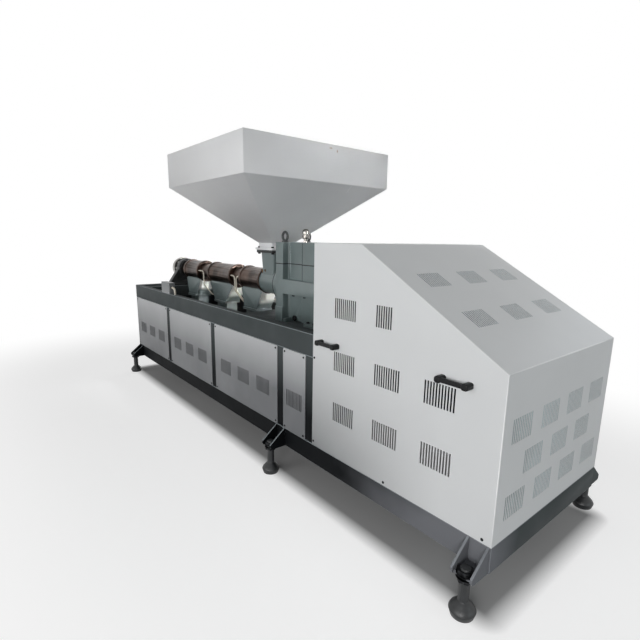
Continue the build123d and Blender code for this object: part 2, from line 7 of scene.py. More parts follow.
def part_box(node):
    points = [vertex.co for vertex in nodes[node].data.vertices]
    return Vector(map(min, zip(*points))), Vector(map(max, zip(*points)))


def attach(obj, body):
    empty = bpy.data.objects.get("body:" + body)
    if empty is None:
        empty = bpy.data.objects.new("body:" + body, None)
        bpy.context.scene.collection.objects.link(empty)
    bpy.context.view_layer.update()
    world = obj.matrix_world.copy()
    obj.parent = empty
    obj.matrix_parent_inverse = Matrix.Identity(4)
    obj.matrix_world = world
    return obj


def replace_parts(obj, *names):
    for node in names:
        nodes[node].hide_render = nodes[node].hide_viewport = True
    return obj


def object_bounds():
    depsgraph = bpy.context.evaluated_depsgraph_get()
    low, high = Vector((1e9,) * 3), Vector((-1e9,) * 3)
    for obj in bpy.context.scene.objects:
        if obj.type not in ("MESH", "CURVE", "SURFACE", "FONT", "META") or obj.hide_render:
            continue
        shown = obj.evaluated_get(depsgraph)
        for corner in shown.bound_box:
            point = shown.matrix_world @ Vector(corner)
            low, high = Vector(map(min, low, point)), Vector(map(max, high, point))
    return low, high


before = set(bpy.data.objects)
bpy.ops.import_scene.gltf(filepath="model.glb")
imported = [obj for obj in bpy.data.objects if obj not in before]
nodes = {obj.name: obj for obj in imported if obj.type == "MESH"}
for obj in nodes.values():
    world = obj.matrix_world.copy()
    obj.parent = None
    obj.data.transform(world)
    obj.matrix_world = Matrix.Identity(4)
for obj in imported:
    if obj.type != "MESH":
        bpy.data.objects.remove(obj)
cadLow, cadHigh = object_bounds()
mm = 0.001
root = "root"
# Outer faces of the housing: sides, end, front wall and roof, which slopes from its bend to the end's fold
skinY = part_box("far_bottom_rail")[1].y
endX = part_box("housing_end")[1].x
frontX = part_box("housing_front_wall")[0].x
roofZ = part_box("housing_roof")[1].z
roofBend = Vector((1.2965, 0.0, roofZ))
roofFold = Vector((endX, 0.0, 0.959))
roofFall = (roofFold - roofBend).normalized()
roofOut = roofFall.cross((0, 1, 0))
print("frame loaded:", len(nodes), "nodes")


def hexColour(code):
    channels = [int(code[i:i + 2], 16) / 255 for i in (1, 3, 5)]
    linear = [c / 12.92 if c <= 0.04045 else ((c + 0.055) / 1.055) ** 2.4 for c in channels]
    return (*linear, 1.0)


def addNode(tree, kind, values=None, links=None, **settings):
    node = tree.nodes.new(kind)
    for name, value in settings.items():
        setattr(node, name, value)
    for name, value in (values or {}).items():
        node.inputs[name].default_value = value
    for name, source in (links or {}).items():  # a node as the source means its first output
        tree.links.new(getattr(source, "outputs", (source,))[0], node.inputs[name])
    return node


# Finishes: each one is a paint or metal with its own tone drift, sheen drift and surface grain
def startSkin(name, finish, band, detail):
    material = bpy.data.materials.new(name)
    material.use_nodes = True
    tree = material.node_tree
    tree.nodes.clear()
    shader = addNode(tree, "ShaderNodeBsdfPrincipled")
    addNode(tree, "ShaderNodeOutputMaterial", links={"Surface": shader})
    spot = addNode(tree, "ShaderNodeTexCoord").outputs["Object"]
    drift = addNode(tree, "ShaderNodeTexNoise", {"Scale": 1 / (finish["driftMm"] * mm), "Detail": detail},
                    {"Vector": spot})
    tone = addNode(tree, "ShaderNodeValToRGB", links={"Fac": drift})
    for stop, place, code in zip(tone.color_ramp.elements, band, (finish["shade"], finish["colour"])):
        stop.position = place
        stop.color = hexColour(code)
    return material, tree, shader, spot, tone.outputs["Color"]


def endSkin(tree, shader, finish, colour, sheen, grain):
    rough = addNode(tree, "ShaderNodeMapRange", {"To Min": finish["roughness"] - finish["roughDrift"],
                    "To Max": finish["roughness"] + finish["roughDrift"]}, {"Value": sheen})
    bump = addNode(tree, "ShaderNodeBump", {"Strength": finish["grainStrength"],
                   "Distance": finish["grainDepthMm"] * mm}, {"Height": grain})
    tree.links.new(colour, shader.inputs["Base Color"])
    tree.links.new(rough.outputs[0], shader.inputs["Roughness"])
    tree.links.new(bump.outputs[0], shader.inputs["Normal"])


# Painted shade: darker towards the floor and away from the motor end, in cloudy patches
def paintedShadeShare(tree, spot, paintedShade):
    place = addNode(tree, "ShaderNodeSeparateXYZ", links={0: spot}).outputs
    rise = addNode(tree, "ShaderNodeMapRange", {"From Min": paintedShade["lowMm"] * mm,
                   "From Max": paintedShade["topMm"] * mm, "To Min": paintedShade["most"], "To Max": 0.0},
                   {"Value": place["Z"]})
    along = addNode(tree, "ShaderNodeMapRange", {"From Min": paintedShade["fadeFromMm"] * mm,
                    "From Max": paintedShade["fadeToMm"] * mm, "To Min": 1.0, "To Max": paintedShade["fadeShare"]},
                    {"Value": place["X"]})
    cloud = addNode(tree, "ShaderNodeTexNoise", {"Scale": 1 / (paintedShade["patchMm"] * mm), "Detail": 4.0},
                    {"Vector": spot})
    patch = addNode(tree, "ShaderNodeMapRange", {"From Min": 0.3, "From Max": 0.7, "To Min": 0.8,
                    "To Max": 1.2}, {"Value": cloud})
    darkening = addNode(tree, "ShaderNodeMath", links={0: rise, 1: along}, operation="MULTIPLY")
    return addNode(tree, "ShaderNodeMath", links={0: darkening, 1: patch}, operation="MULTIPLY", use_clamp=True)


# Rolled and folded edges, painted lighter than the flats: rubbed wear with a painted highlight
def edgeWearAndHighlightShare(tree):
    facing = addNode(tree, "ShaderNodeNewGeometry").outputs["True Normal"]
    slant = addNode(tree, "ShaderNodeVectorMath", links={0: facing}, operation="ABSOLUTE")
    steep = addNode(tree, "ShaderNodeSeparateXYZ", links={0: slant}).outputs
    level = addNode(tree, "ShaderNodeMath", links={0: steep["X"], 1: steep["Y"]}, operation="MAXIMUM")
    most = addNode(tree, "ShaderNodeMath", links={0: level, 1: steep["Z"]}, operation="MAXIMUM")
    return addNode(tree, "ShaderNodeMath", {1: 0.97}, {0: most}, operation="LESS_THAN")


# Painted light on the faces across the barrel, pale towards the top
def paintedLightShare(tree, spot, paintedLight):
    facing = addNode(tree, "ShaderNodeNewGeometry").outputs["True Normal"]
    turn = addNode(tree, "ShaderNodeSeparateXYZ", links={0: facing}).outputs
    sideways = addNode(tree, "ShaderNodeMath", links={0: turn["X"]}, operation="ABSOLUTE")
    across = addNode(tree, "ShaderNodeMath", {1: 0.6}, {0: sideways}, operation="GREATER_THAN")
    place = addNode(tree, "ShaderNodeSeparateXYZ", links={0: spot}).outputs
    climb = addNode(tree, "ShaderNodeMapRange", {"From Min": paintedLight["lowMm"] * mm,
                    "From Max": paintedLight["topMm"] * mm}, {"Value": place["Z"]}, interpolation_type="SMOOTHSTEP")
    return addNode(tree, "ShaderNodeMath", links={0: across, 1: climb}, operation="MULTIPLY")


# A stain, scuff or rubbed line with a ragged rim
def markShare(tree, spot, mark):
    offset = addNode(tree, "ShaderNodeVectorMath", {1: mark["at"]}, {0: spot}, operation="SUBTRACT")
    scaled = addNode(tree, "ShaderNodeVectorMath", {1: [1 / (half * mm) for half in mark["halfMm"]]},
                     {0: offset}, operation="MULTIPLY")
    distance = addNode(tree, "ShaderNodeVectorMath", links={0: scaled}, operation="LENGTH").outputs["Value"]
    ragged = addNode(tree, "ShaderNodeTexNoise", {"Scale": 1 / (mark.get("raggedMm", 6) * mm), "Detail": 3.0},
                     {"Vector": spot})
    rim = addNode(tree, "ShaderNodeMath", links={0: distance, 1: ragged}, operation="ADD")
    return addNode(tree, "ShaderNodeMapRange", {"From Min": 0.9, "From Max": 1.5, "To Min": mark["share"],
                   "To Max": 0.0}, {"Value": rim})


# Painted shade on the inner faces: dark wherever the skin lies deeper than every plane
def insideShadeShare(tree, spot, planes):
    inside = None
    for way, limit in planes:
        depth = addNode(tree, "ShaderNodeVectorMath", {1: way}, {0: spot}, operation="DOT_PRODUCT").outputs
        within = addNode(tree, "ShaderNodeMath", {1: limit}, {0: depth["Value"]}, operation="LESS_THAN")
        if inside:
            within = addNode(tree, "ShaderNodeMath", links={0: within, 1: inside}, operation="MULTIPLY")
        inside = within
    return inside


def coated(name, finish):
    material, tree, shader, spot, colour = startSkin(name, finish, (0.35, 0.65), 3.0)
    layers = []  # shares of the skin, each with the colour that it takes
    # painted shade towards the floor
    if "paintedShade" in finish:
        layers.append((paintedShadeShare(tree, spot, finish["paintedShade"]), finish["paintedShade"]["colour"]))
    # rubbed wear with a painted highlight on the edges
    if "edgeWearAndHighlight" in finish:
        layers.append((edgeWearAndHighlightShare(tree), finish["edgeWearAndHighlight"]))
    # painted light on the faces across the barrel
    if "paintedLight" in finish:
        layers.append((paintedLightShare(tree, spot, finish["paintedLight"]), finish["paintedLight"]["colour"]))
    for mark in finish.get("marks", []):
        layers.append((markShare(tree, spot, mark), mark["colour"]))
    # painted shade on the inner faces
    if "insideShade" in finish:
        layers.append((insideShadeShare(tree, spot, finish["insideShade"]["planes"]), finish["insideShade"]["colour"]))
    for share, code in layers:
        colour = addNode(tree, "ShaderNodeMix", {"B": hexColour(code)}, {"Factor": share, "A": colour},
                         data_type="RGBA").outputs["Result"]
    smear = addNode(tree, "ShaderNodeTexNoise", {"Scale": 1 / (finish["smearMm"] * mm), "Detail": 5.0},
                    {"Vector": spot})
    grain = addNode(tree, "ShaderNodeTexNoise", {"Scale": 1 / (finish["grainMm"] * mm), "Detail": 2.0},
                    {"Vector": spot})
    endSkin(tree, shader, finish, colour, smear, grain)
    shader.inputs["Specular IOR Level"].default_value = finish.get("specular", 0.5)
    shader.inputs["IOR"].default_value = finish.get("ior", 1.5)
    return material


# Baked powder coat: pale, faintly pebbled, with a soft wide highlight and a painted highlight along the end's
# folds
paintedFoldHighlight = {"share": 1.0, "colour": "#FBFCFC", "raggedMm": 500}
insideShadeDepth = 1.7 * mm  # the painted inside shade starts this far under an outer face
sidePlanes = [((0, side, 0), skinY - insideShadeDepth) for side in (1, -1)]
housingPlanes = sidePlanes + [(way, face - insideShadeDepth) for way, face in (
    ((1, 0, 0), endX), ((-1, 0, 0), -frontX), ((0, 0, 1), roofZ), (roofOut, roofOut.dot(roofBend)))]
powderCoat = coated("powderCoatedHousing", {
    "colour": "#DADCDD", "shade": "#D5D7D8", "driftMm": 700, "smearMm": 160, "roughness": 0.42,
    "roughDrift": 0.06, "grainMm": 5, "grainStrength": 0.12, "grainDepthMm": 0.05,
    # painted shade, darker low down and away from the motor end
    "paintedShade": {"colour": "#66696B", "most": 0.75, "lowMm": 270, "topMm": 830, "patchMm": 900,
              "fadeFromMm": 950, "fadeToMm": 1800, "fadeShare": 0.0},
    "marks": [{**paintedFoldHighlight, "at": roofFold, "halfMm": (4.5, 600, 4.5)},
              {**paintedFoldHighlight, "at": (endX, -skinY, 0.62), "halfMm": (4.5, 4.5, 450)},
              {**paintedFoldHighlight, "at": (endX, skinY, 0.62), "halfMm": (4.5, 4.5, 450)}],
    # painted shade on the inner faces
    "insideShade": {"colour": "#282B31", "planes": housingPlanes}})
# Satin-lacquered steel sheet: greyer than the housing, with painted shade darker towards the floor
satinPanel = coated("satinLacqueredPanel", {
    "colour": "#C4C6C8", "shade": "#BBBDBF", "driftMm": 420, "smearMm": 120, "roughness": 0.45,
    "roughDrift": 0.06, "grainMm": 5, "grainStrength": 0.08, "grainDepthMm": 0.04, "edgeWearAndHighlight": "#E4E6E8",
    "paintedShade": {"colour": "#6A6C6F", "most": 0.9, "lowMm": 500, "topMm": 795, "patchMm": 700,
              "fadeFromMm": 0, "fadeToMm": 1800, "fadeShare": 1.0},
    # painted shade on the inner faces
    "insideShade": {"colour": "#3A3C3E", "planes": sidePlanes}})
# Sprayed hopper paint: matt light grey over welded sheet, slightly uneven, with two rust stains and a scuff
hopperSpray = coated("sprayedHopperPaint", {
    "colour": "#D8D9DA", "shade": "#D2D3D4", "driftMm": 500, "smearMm": 140, "roughness": 0.48,
    "roughDrift": 0.06, "grainMm": 6, "grainStrength": 0.14, "grainDepthMm": 0.06,
    "marks": [{"at": (0.422, 0.052, 1.988), "halfMm": (20, 16, 6), "share": 0.8, "colour": "#A8917E"},
              {"at": (0.422, 0.108, 1.975), "halfMm": (20, 7, 13), "share": 0.8, "colour": "#A08570"},
              {"at": (0.41, 0.25, 1.72), "halfMm": (60, 7, 60), "share": 0.6, "colour": "#F0F1F2"}]})
# Dark oil enamel on rolled channel: satin, with mill waviness, painted shade low down and painted light on
# the rail at the motor end
frameEnamel = coated("darkChannelEnamel", {
    "colour": "#4C5152", "shade": "#464B4C", "driftMm": 260, "smearMm": 90, "roughness": 0.6,
    "specular": 0.06, "roughDrift": 0.08, "grainMm": 14, "grainStrength": 0.22, "grainDepthMm": 0.2,
    "edgeWearAndHighlight": "#8A9194",
    "paintedShade": {"colour": "#0E1012", "most": 1.3, "lowMm": 300, "topMm": 770, "patchMm": 900,
              "fadeFromMm": 900, "fadeToMm": 1900, "fadeShare": 0.0},
    # painted light: a paler patch on the bottom rail at the motor end
    "marks": [{"at": (2.1, -0.56, 0.2), "halfMm": (1100, 260, 220), "share": 0.55, "colour": "#8C8D93",
               "raggedMm": 500}]})
# Grey-green machine enamel brushed over castings: lumpy skin, gentle gloss, one pale vertical streak
machineEnamel = coated("greyGreenMachineEnamel", {
    "colour": "#647070", "shade": "#5D6969", "driftMm": 180, "smearMm": 60, "roughness": 0.4,
    "roughDrift": 0.1, "grainMm": 9, "grainStrength": 0.35, "grainDepthMm": 0.25,
    "marks": [{"at": (0.186, -0.106, 1.26), "halfMm": (5, 9, 150), "share": 0.9, "colour": "#C8D2D2"}]})
# The same enamel on the air ducts, with painted light making the faces across the barrel pale towards the top
ductEnamel = coated("ductEnamelPaintedLight", {
    "colour": "#647070", "shade": "#5D6969", "driftMm": 180, "smearMm": 60, "roughness": 0.45,
    "roughDrift": 0.1, "grainMm": 9, "grainStrength": 0.3, "grainDepthMm": 0.2,
    "paintedLight": {"colour": "#EDEDE9", "lowMm": 865, "topMm": 925}})
# Black-painted cast iron: sand-cast pebble under thick glossy paint
blackIron = coated("blackPaintedIron", {
    "colour": "#26282A", "shade": "#1D1F20", "driftMm": 60, "smearMm": 30, "roughness": 0.42,
    "roughDrift": 0.12, "grainMm": 4, "grainStrength": 0.4, "grainDepthMm": 0.25})
# Moulded black nylon: fine spark-eroded texture, dull sheen
blackNylon = coated("mouldedBlackNylon", {
    "colour": "#0F1011", "shade": "#0C0D0E", "driftMm": 80, "smearMm": 25, "roughness": 0.42, "ior": 1.53,
    "roughDrift": 0.08, "grainMm": 2, "grainStrength": 0.15, "grainDepthMm": 0.05, "specular": 0.2})
# Grey moulded polycarbonate: smooth and slightly waxy
greyPolycarbonate = coated("greyPolycarbonateBox", {
    "colour": "#76797B", "shade": "#6F7274", "driftMm": 120, "smearMm": 40, "roughness": 0.38,
    "roughDrift": 0.05, "grainMm": 3, "grainStrength": 0.15, "grainDepthMm": 0.05, "ior": 1.58})
# Rubber sheet gasket: dead black with a dusty bloom, also used for the dark strips of painted shade
blackRubberAndShade = coated("blackRubberAndPaintedShade", {
    "colour": "#1B1B1B", "shade": "#252525", "driftMm": 40, "smearMm": 20, "roughness": 0.75,
    "roughDrift": 0.08, "grainMm": 3, "grainStrength": 0.3, "grainDepthMm": 0.1, "ior": 1.52})
# Filter fleece: pale blue-grey matted fibre, no shine, darker towards the operator side
filterFleece = coated("blueGreyFilterFleece", {
    "colour": "#BAD4D9", "shade": "#AEC9CE", "driftMm": 30, "smearMm": 12, "roughness": 0.9,
    "roughDrift": 0.05, "grainMm": 3, "grainStrength": 0.6, "grainDepthMm": 0.5, "ior": 1.45, "specular": 0.2,
    "marks": [{"at": (2.03, -0.5, 0.5), "halfMm": (120, 330, 420), "share": 0.75, "colour": "#4E595D",
               "raggedMm": 90},
              {"at": (1.65, -0.5, 1.2), "halfMm": (700, 1000, 400), "share": 0.7, "colour": "#5A676E",
               "raggedMm": 90}]})
# Woven glass-fibre sleeving: chalky cream threads
glassSleeve = coated("glassFibreSleeve", {
    "colour": "#E6E1D4", "shade": "#D3CBBA", "driftMm": 25, "smearMm": 10, "roughness": 0.7,
    "roughDrift": 0.1, "grainMm": 2, "grainStrength": 0.6, "grainDepthMm": 0.3})


def metal(name, finish):
    material, tree, shader, spot, colour = startSkin(name, finish, (0.38, 0.62), 5.0)
    brushed = addNode(tree, "ShaderNodeMapping", {"Scale": finish.get("brush", (1, 1, 1))}, {"Vector": spot})
    lines = addNode(tree, "ShaderNodeTexNoise", {"Scale": 1 / (finish["grainMm"] * mm), "Detail": 3.0},
                    {"Vector": brushed})
    endSkin(tree, shader, finish, colour, lines, lines)
    shader.inputs["Metallic"].default_value = 1.0
    return material


# Turned and ground nitrided steel: grey rings round the X axis
groundSteel = metal("groundNitridedSteel", {
    "colour": "#A9A8A5", "shade": "#8E8C88", "driftMm": 90, "brush": (1.0, 0.05, 0.05), "roughness": 0.3,
    "roughDrift": 0.08, "grainMm": 3, "grainStrength": 0.15, "grainDepthMm": 0.05})
# Heat-browned steel: straw and umber tints where the heaters have cooked it
brownedSteel = metal("heatBrownedSteel", {
    "colour": "#5E5049", "shade": "#3B332F", "driftMm": 120, "brush": (1.0, 0.08, 0.08), "roughness": 0.34,
    "roughDrift": 0.1, "grainMm": 4, "grainStrength": 0.15, "grainDepthMm": 0.06})
# Hot-dip galvanised sheet: cool grey with faint spangle
galvanised = metal("galvanisedSheet", {
    "colour": "#C9CCCE", "shade": "#AEB2B5", "driftMm": 22, "roughness": 0.4,
    "roughDrift": 0.1, "grainMm": 14, "grainStrength": 0.08, "grainDepthMm": 0.05})
# Black-oxide bolts: dark and oily, worn in patches
blackOxide = metal("blackOxideBolts", {
    "colour": "#303133", "shade": "#1C1D1E", "driftMm": 12, "roughness": 0.55,
    "roughDrift": 0.1, "grainMm": 3, "grainStrength": 0.1, "grainDepthMm": 0.05})
# Zinc-plated fasteners: bright with a cold blue cast
zincPlate = metal("zincPlatedScrews", {
    "colour": "#C6CACE", "shade": "#9EA3A8", "driftMm": 14, "roughness": 0.3,
    "roughDrift": 0.08, "grainMm": 3, "grainStrength": 0.08, "grainDepthMm": 0.04})
# Nickel-plated breather: near mirror with handling smears
nickelPlate = metal("nickelPlatedBreather", {
    "colour": "#96938F", "shade": "#6A6763", "driftMm": 18, "brush": (0.1, 0.1, 1.0), "roughness": 0.2,
    "roughDrift": 0.08, "grainMm": 3, "grainStrength": 0.06, "grainDepthMm": 0.03})
# Brass water fittings: warm, tarnished in patches
tarnishedBrass = metal("tarnishedBrassFittings", {
    "colour": "#836B54", "shade": "#544437", "driftMm": 16, "roughness": 0.34,
    "roughDrift": 0.1, "grainMm": 4, "grainStrength": 0.1, "grainDepthMm": 0.05})
print("finishes made")


# Every node keeps its shape and takes its finish; most get a copy with softened edges
def paint(mesh, material):
    mesh.materials.clear()
    mesh.materials.append(material)


def newPiece(name, mesh):
    piece = bpy.data.objects.new(name, mesh)
    bpy.context.scene.collection.objects.link(piece)
    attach(piece, root)
    return piece


def meshPiece(name, corners, faces, material):
    mesh = bpy.data.meshes.new(name)
    mesh.from_pydata(corners, [], faces)
    paint(mesh, material)
    return newPiece(name, mesh)


def evaluated(holder):
    bpy.context.view_layer.update()
    graph = bpy.context.evaluated_depsgraph_get()
    mesh = bpy.data.meshes.new_from_object(holder.evaluated_get(graph))
    holder.modifiers.clear()
    bpy.data.objects.remove(holder)
    return mesh


def mergedCopy(name):
    work = bmesh.new()
    work.from_mesh(nodes[name].data)
    bmesh.ops.remove_doubles(work, verts=work.verts, dist=0.02 * mm)
    return work


def soften(name, edge, material):
    mesh = nodes[name].data.copy()
    work = mergedCopy(name)
    bmesh.ops.dissolve_limit(work, angle_limit=radians(0.3), verts=work.verts, edges=work.edges)
    for corner in work.verts:
        if "proudMm" in edge and abs(abs(corner.co.y) - skinY) < 0.1 * mm:
            corner.co.y *= 1 + edge["proudMm"] * mm / skinY  # the tray's face stands proud of the channel
    weight = work.edges.layers.float.new("bevel_weight_edge")
    for line in work.edges:
        if len(line.link_faces) == 2 and line.calc_length() >= edge["shortestMm"] * mm:
            line[weight] = 1.0 if line.calc_face_angle() > radians(edge.get("angle", 32)) else 0.0
    work.to_mesh(mesh)
    work.free()
    holder = bpy.data.objects.new(name + "_holder", mesh)
    bpy.context.scene.collection.objects.link(holder)
    bevel = holder.modifiers.new("edge", "BEVEL")
    bevel.limit_method = "WEIGHT"
    bevel.width = edge["radiusMm"] * mm
    bevel.segments = edge.get("segments", 2)
    bevel.harden_normals = not edge.get("sheet", False)
    soft = evaluated(holder)
    if edge.get("sheet", False):
        soft.shade_flat()
    else:
        soft.set_sharp_from_angle(angle=radians(34))
    paint(soft, material)
    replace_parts(newPiece(name + "_dressed", soft), name)


sheetEdge = {"radiusMm": 0.9, "shortestMm": 150, "sheet": True}
trayEdge = {"radiusMm": 2.5, "shortestMm": 120, "proudMm": 3.0, "sheet": True, "segments": 3}
rollEdge = {"radiusMm": 3.0, "shortestMm": 4}
castEdge = {"radiusMm": 3.5, "shortestMm": 2, "segments": 3}
foldEdge = {"radiusMm": 1.5, "shortestMm": 4}
panels = [f"{side}_panel_{index}" for side in ("near", "far") for index in (1, 2, 3, 4)]
dressing = [
    (frameEnamel, rollEdge, ["near_bottom_rail", "far_bottom_rail", "near_top_rail", "far_top_rail",
                             "end_rails", "near_posts", "far_posts", "cross_beams", "deck_plate",
                             "near_leg_brackets", "far_leg_brackets"]),
    (frameEnamel, sheetEdge, ["end_panel"]),
    (satinPanel, trayEdge, panels),
    (powderCoat, sheetEdge, ["housing_near_side", "housing_far_side", "housing_roof", "housing_end",
                             "housing_front_wall"]),
    (hopperSpray, {"radiusMm": 1.6, "shortestMm": 30}, ["hopper", "hopper_flange"]),
    (machineEnamel, castEdge, ["gearbox_case", "gearbox_cover", "feed_throat", "coupling_guard"]),
    (machineEnamel, foldEdge, ["cooling_blowers"]),
    (ductEnamel, foldEdge, ["air_ducts"]),
    (brownedSteel, {"radiusMm": 1.5, "shortestMm": 2}, ["heater_jackets"]),
    (groundSteel, {"radiusMm": 2.0, "shortestMm": 2}, ["die_flange"]),
    (blackIron, {"radiusMm": 2.5, "shortestMm": 2}, ["near_levelling_feet", "far_levelling_feet",
                                                     "barrel_support"]),
    (blackNylon, {"radiusMm": 0.8, "shortestMm": 2, "angle": 50}, ["near_handles", "far_handles"]),
    (galvanised, foldEdge, ["cable_tray"]),
    (greyPolycarbonate, {"radiusMm": 3.0, "shortestMm": 1, "segments": 3}, ["terminal_box"]),
]
for material, edge, names in dressing:
    for name in names:
        soften(name, edge, material)
asModelled = {"barrel": brownedSteel, "wiring_leads": glassSleeve, "hopper_gasket": blackRubberAndShade,
              "gearbox_breather": nickelPlate, "gearbox_eye_bolts": blackIron, "screw": groundSteel}
for name, material in asModelled.items():
    paint(nodes[name].data, material)
print("nodes dressed")


# Rules: each tree takes points and named sizes, and ends in real meshes with their material
def startRule(name, sizes):
    tree = bpy.data.node_groups.new(name, "GeometryNodeTree")
    face = tree.interface
    face.new_socket("Geometry", in_out="INPUT", socket_type="NodeSocketGeometry")
    for label, value in sizes.items():
        kind = "NodeSocketInt" if isinstance(value, int) else "NodeSocketFloat"
        face.new_socket(label, in_out="INPUT", socket_type=kind).default_value = value
    face.new_socket("Material", in_out="INPUT", socket_type="NodeSocketMaterial")
    face.new_socket("Geometry", in_out="OUTPUT", socket_type="NodeSocketGeometry")
    return tree, addNode(tree, "NodeGroupInput").outputs


def joined(tree, parts):
    whole = addNode(tree, "GeometryNodeJoinGeometry")
    for part in parts:
        tree.links.new(part.outputs[0], whole.inputs[0])
    return whole


def facingTurn(tree):
    facing = addNode(tree, "GeometryNodeInputNamedAttribute", {"Name": "facing"}, data_type="FLOAT_VECTOR")
    return addNode(tree, "FunctionNodeAlignRotationToVector", links={"Vector": facing}, axis="Z")


def endRule(tree, given, whole, turn=None):
    if turn:  # one copy stands on each point
        whole = addNode(tree, "GeometryNodeInstanceOnPoints", links={"Points": given["Geometry"],
                        "Instance": whole, "Rotation": turn})
    real = addNode(tree, "GeometryNodeRealizeInstances", links={0: whole})
    skin = addNode(tree, "GeometryNodeSetMaterial", links={"Geometry": real, "Material": given["Material"]})
    addNode(tree, "NodeGroupOutput", links={0: skin})
    return tree


def grown(name, points, rule, sizes):
    seeds = bpy.data.meshes.new(name + "_points")
    seeds.from_pydata([place for place, way in points], [], [])
    seeds.attributes.new("facing", "FLOAT_VECTOR", "POINT")
    for row, (place, way) in zip(seeds.attributes["facing"].data, points):
        row.vector = way
    holder = bpy.data.objects.new(name + "_points", seeds)
    bpy.context.scene.collection.objects.link(holder)
    growth = holder.modifiers.new("rule", "NODES")
    growth.node_group = rule
    ids = {item.name: item.identifier for item in rule.interface.items_tree if item.in_out == "INPUT"}
    for label, value in sizes.items():
        growth[ids[label]] = value
    made = evaluated(holder)
    made.shade_flat()
    print(name, len(made.polygons), "faces")
    return newPiece(name, made)


# Fasteners: a washer, a head and its crown on every point, each turned at random
def boltRule():
    tree, given = startRule("headedBolts", {"Head Radius": 0.008, "Head Height": 0.006, "Sides": 6,
                            "Crown": 0.9, "Washer Radius": 0.01, "Washer Height": 0.002, "Seed": 3})
    headShare = 0.78  # of the whole height, the rest is the crown
    height, radius = given["Head Height"], given["Head Radius"]
    brim, washer = given["Washer Radius"], given["Washer Height"]
    headDepth = addNode(tree, "ShaderNodeMath", {1: headShare}, {0: height}, operation="MULTIPLY")
    crownDepth = addNode(tree, "ShaderNodeMath", {1: 1 - headShare}, {0: height}, operation="MULTIPLY")
    crownRadius = addNode(tree, "ShaderNodeMath", links={0: radius, 1: given["Crown"]}, operation="MULTIPLY")
    crownZ = addNode(tree, "ShaderNodeMath", links={0: washer, 1: headDepth}, operation="ADD")
    parts = []
    for topRadius, depth, z in ((crownRadius, crownDepth, crownZ), (radius, headDepth, washer)):
        cone = addNode(tree, "GeometryNodeMeshCone", links={"Vertices": given["Sides"], "Depth": depth,
                       "Radius Top": topRadius, "Radius Bottom": radius})
        lift = addNode(tree, "ShaderNodeCombineXYZ", links={"Z": z})
        parts.append(addNode(tree, "GeometryNodeTransform", links={"Geometry": cone, "Translation": lift}))
    parts.append(addNode(tree, "GeometryNodeMeshCone", {"Vertices": 20}, {
        "Radius Top": brim, "Radius Bottom": brim, "Depth": washer}))
    spin = addNode(tree, "FunctionNodeRandomValue", {"Max": 2 * pi}, {"Seed": given["Seed"]})
    twist = addNode(tree, "FunctionNodeAxisAngleToRotation", {"Axis": up}, {"Angle": spin.outputs["Value"]})
    turn = addNode(tree, "FunctionNodeRotateRotation", links={0: facingTurn(tree), 1: twist},
                   rotation_space="LOCAL")
    return endRule(tree, given, joined(tree, parts), turn)


up, down, nearWay, farWay, leftWay = ((0, 0, 1), (0, 0, -1), (0, -1, 0), (0, 1, 0), (-1, 0, 0))
bolts = boltRule()


def bothSides(points):
    return points + [((x, -y, z), (fx, -fy, fz)) for (x, y, z), (fx, fy, fz) in points]


# Dark pan heads hold each panel and the housing sheets
panHead = {"Head Radius": 4.6 * mm, "Head Height": 3.2 * mm, "Sides": 14, "Crown": 0.6,
           "Washer Radius": 6.5 * mm, "Washer Height": 1.0 * mm, "Seed": 5, "Material": blackOxide}
screwPlan = {"panelInset": 17 * mm,
             "housing": [(0.9655, 0.7835), (0.9655, 0.3055), (1.49, 0.2965), (1.9975, 0.2965)]}  # x and z
panelScrews = []
for name in panels:
    low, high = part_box(name)
    way = nearWay if low.y < 0 else farWay
    face = (skinY + trayEdge["proudMm"] * mm) * way[1]
    inset = screwPlan["panelInset"]
    panelScrews += [((x, face, z), way) for x in (low.x + inset, high.x - inset)
                    for z in (low.z + inset, high.z - inset)]
panelScrews += bothSides([((x, -skinY, z), nearWay) for x, z in screwPlan["housing"]])
grown("panel_screws", panelScrews, bolts, panHead)


# Separate lumps of a node, each as its corner points, from the die end on
def lumps(name):
    work = mergedCopy(name)
    left = set(work.verts)
    found = []
    while left:
        group, edge = [], [left.pop()]
        while edge:
            corner = edge.pop()
            group.append(corner.co.copy())
            fresh = {line.other_vert(corner) for line in corner.link_edges} & left
            left -= fresh
            edge += fresh
        found.append(group)
    work.free()
    return sorted(found, key=lambda group: min(c.x for c in group))


def span(group):
    return [Vector(most(c[k] for c in group) for k in range(3)) for most in (min, max)]


# Hex bolts: hopper flange and throat, gearbox belt and feet, barrel support
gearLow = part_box("gearbox_case")[0]
flangeLow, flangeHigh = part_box("hopper_flange")
throatLow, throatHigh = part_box("feed_throat")
supportLow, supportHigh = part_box("barrel_support")
screwLow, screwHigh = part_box("screw")
axisZ = (screwLow.z + screwHigh.z) / 2
flangeMiddle = (flangeLow + flangeHigh) / 2
supportX = (supportLow.x + supportHigh.x) / 2
hexHead = {"Head Radius": 10.4 * mm, "Head Height": 8.5 * mm, "Sides": 6, "Crown": 0.86,
           "Washer Radius": 13 * mm, "Washer Height": 2 * mm, "Seed": 8, "Material": blackOxide}
hexPlan = {"flange": (-0.093, 0.093), "throatPlate": 0.016, "gearY": 0.138, "beltHalf": 0.05,
           "beltX": (0.195, 0.319, 0.443, 0.567, 0.691), "footX": (0.362, 0.428, 0.622, 0.680),
           "footRise": 0.026, "supportY": (-0.185, 0.185), "supportRise": 0.022}
hexBolts = []
for z, way in ((flangeHigh.z, up), (throatHigh.z - hexPlan["throatPlate"], down)):
    hexBolts += [((flangeMiddle.x + dx, flangeMiddle.y + dy, z), way)
                 for dx in hexPlan["flange"] for dy in hexPlan["flange"]]
